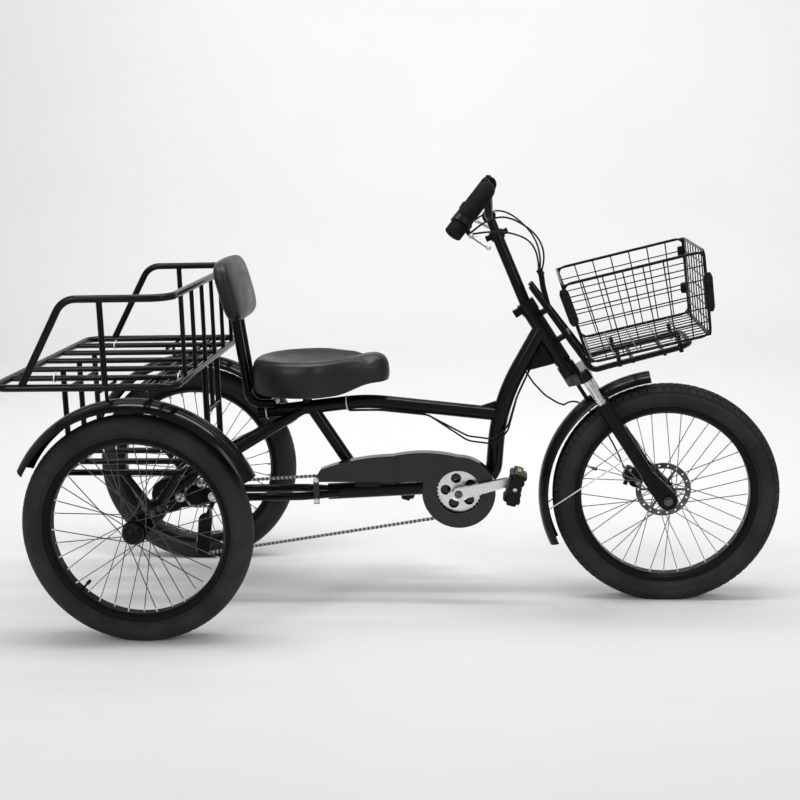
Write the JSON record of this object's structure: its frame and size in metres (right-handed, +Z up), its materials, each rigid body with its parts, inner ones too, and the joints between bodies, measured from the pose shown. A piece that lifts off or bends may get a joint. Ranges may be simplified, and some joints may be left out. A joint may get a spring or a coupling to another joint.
{
  "type": "cargo tricycle",
  "caption": "Step-through cargo tricycle with a front wire basket, a saddle with backrest, a railed rear load rack and wide tyres, with turning wheels, steering, crank and pedals.",
  "frame": {"origin": "on the floor under the middle of the part's box", "axes": "+X forward, +Y to the rider's left, +Z up"},
  "size_m": [2.1459, 0.8488, 1.2327],
  "materials": {
    "frame_paint": "gloss black paint",
    "wheel_black": "satin black with bright spokes",
    "wire": "black coated wire",
    "tyre": "matt black rubber",
    "steel": "plain steel",
    "aluminium": "polished silver",
    "plastic": "black plastic",
    "cover": "gloss black plastic",
    "seat": "black imitation leather",
    "cable": "black cable sheath",
    "foam": "black foam sleeve"
  },
  "bodies": {
    "frame": {"head_tube": "frame_paint", "main_tube": "frame_paint", "upper_tube": "frame_paint", "seat_brace": "frame_paint", "rear_braces": "frame_paint", "lower_stays": "frame_paint", "axle_carrier": "frame_paint", "axle_struts": "frame_paint", "drive_unit": "aluminium", "rear_gears": "steel", "chain": "steel", "rack_deck": "frame_paint", "rack_side_rails": "frame_paint", "rack_front_fence": "frame_paint", "rack_legs": "frame_paint", "under_tray": "frame_paint", "rear_fenders": "frame_paint", "saddle": "seat", "saddle_post": "frame_paint", "backrest": "seat", "backrest_posts": "frame_paint", "chain_cover": "cover", "front_carrier": "frame_paint", "basket_sides": "wire", "basket_ends": "wire", "basket_floor": "wire", "basket_hinges": "plastic", "frame_cables": "cable"},
    "steering": {"fork_crown": "frame_paint", "fork_legs": "frame_paint", "front_axle": "steel", "front_fender": "frame_paint", "brake_caliper": "steel", "stem": "frame_paint", "handlebar": "frame_paint", "grips": "foam", "brake_levers": "aluminium", "bar_cables": "cable"},
    "front_wheel": {"front_tyre": "tyre", "front_wheel": "wheel_black", "brake_rotor": "steel"},
    "rear_wheel_right": {"tyre_right": "tyre", "wheel_right": "wheel_black", "shaft_right": "steel"},
    "rear_wheel_left": {"tyre_left": "tyre", "wheel_left": "wheel_black", "shaft_left": "steel"},
    "crank": {"crankset": "aluminium"},
    "pedal_right": {"pedal_right": "plastic"},
    "pedal_left": {"pedal_left": "plastic"}
  },
  "joints": [
    {"name": "steering_turn", "type": "hinge", "parent": "frame", "child": "steering", "pos_m": [0.71338, 0, 0.30174], "axis": [-0.5299, 0, 0.848], "range_deg": [-40, 40]},
    {"name": "front_wheel_spin", "type": "hinge", "parent": "steering", "child": "front_wheel", "pos_m": [0.749, 0, 0.324], "axis": [0, 1, 0], "continuous": true},
    {"name": "rear_wheel_right_spin", "type": "hinge", "parent": "frame", "child": "rear_wheel_right", "pos_m": [-0.709, -0.3505, 0.324], "axis": [0, 1, 0], "continuous": true},
    {"name": "rear_wheel_left_spin", "type": "hinge", "parent": "frame", "child": "rear_wheel_left", "pos_m": [-0.709, 0.3505, 0.324], "axis": [0, 1, 0], "continuous": true},
    {"name": "crank_spin", "type": "hinge", "parent": "frame", "child": "crank", "pos_m": [0.157, 0, 0.352], "axis": [0, 1, 0], "continuous": true},
    {"name": "pedal_right_spin", "type": "hinge", "parent": "crank", "child": "pedal_right", "pos_m": [0.3171, -0.167, 0.39192], "axis": [0, 1, 0], "continuous": true},
    {"name": "pedal_left_spin", "type": "hinge", "parent": "crank", "child": "pedal_left", "pos_m": [-0.0031, 0.167, 0.31208], "axis": [0, 1, 0], "continuous": true}
  ]
}
